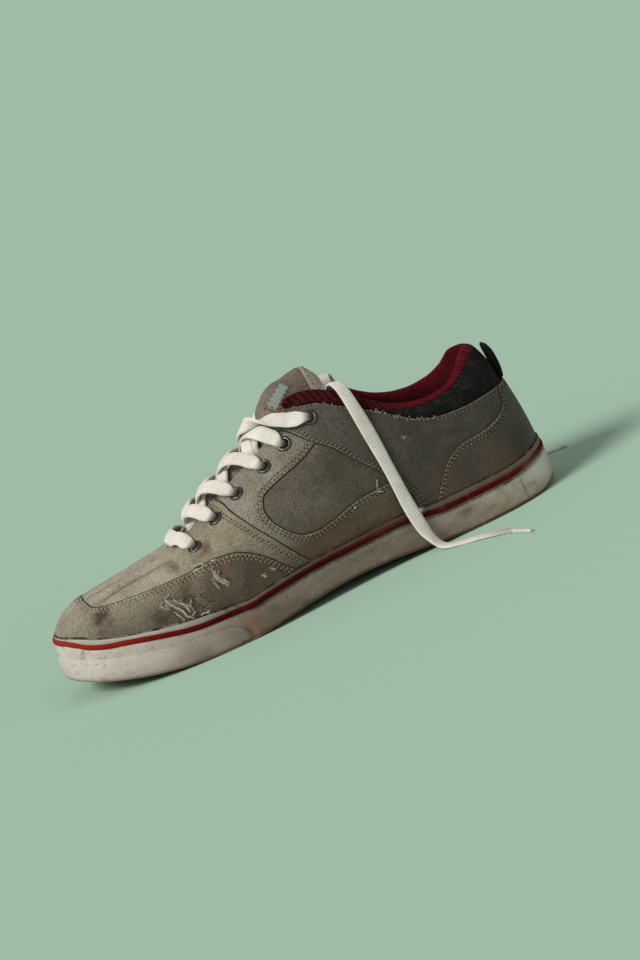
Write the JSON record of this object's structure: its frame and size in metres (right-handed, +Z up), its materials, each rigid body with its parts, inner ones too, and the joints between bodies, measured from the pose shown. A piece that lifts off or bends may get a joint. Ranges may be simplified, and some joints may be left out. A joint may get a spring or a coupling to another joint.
{
  "type": "sneaker",
  "caption": "Worn low-top canvas sneaker, left foot, with a vulcanised rubber sole, padded collar and tongue, metal eyelets and flat cotton laces with loose ends.",
  "frame": {"origin": "under the middle of the sole's length and width, on the plane that the shoe stands on", "axes": "+Z up, toe at -X, heel at +X, lateral (outer) side at -Y, medial side at +Y"},
  "size_m": [0.3229, 0.1721, 0.1189],
  "materials": {
    "sole_rubber": "dirty brown outsole rubber, matte",
    "white_rubber": "yellowed off-white sidewall rubber, scuffed",
    "insole_foam": "fabric-covered foam footbed, worn dark",
    "canvas": "faded taupe canvas, dusty",
    "collar_padding": "black mesh outside and dark red lining inside, padded",
    "tab_webbing": "black folded webbing",
    "lace_cotton": "off-white flat woven cotton",
    "eyelet_metal": "dulled dark nickel plate",
    "aglet_plastic": "clear-white plastic film"
  },
  "bodies": {
    "root": {"outsole": "sole_rubber", "foxing": "white_rubber", "toe_bumper": "white_rubber", "insole": "insole_foam", "upper": "canvas", "collar": "collar_padding", "tongue": "canvas", "pull_tab": "tab_webbing", "eyelet_lateral_1": "eyelet_metal", "eyelet_lateral_2": "eyelet_metal", "eyelet_lateral_3": "eyelet_metal", "eyelet_lateral_4": "eyelet_metal", "eyelet_lateral_5": "eyelet_metal", "eyelet_lateral_6": "eyelet_metal", "eyelet_medial_1": "eyelet_metal", "eyelet_medial_2": "eyelet_metal", "eyelet_medial_3": "eyelet_metal", "eyelet_medial_4": "eyelet_metal", "eyelet_medial_5": "eyelet_metal", "eyelet_medial_6": "eyelet_metal", "lace_bar": "lace_cotton", "lace_cross_1": "lace_cotton", "lace_cross_2": "lace_cotton", "lace_cross_3": "lace_cotton", "lace_cross_4": "lace_cotton", "lace_cross_5": "lace_cotton", "lace_end_lateral": "lace_cotton", "lace_end_medial": "lace_cotton", "aglet_lateral": "aglet_plastic", "aglet_medial": "aglet_plastic"}
  },
  "joints": []
}
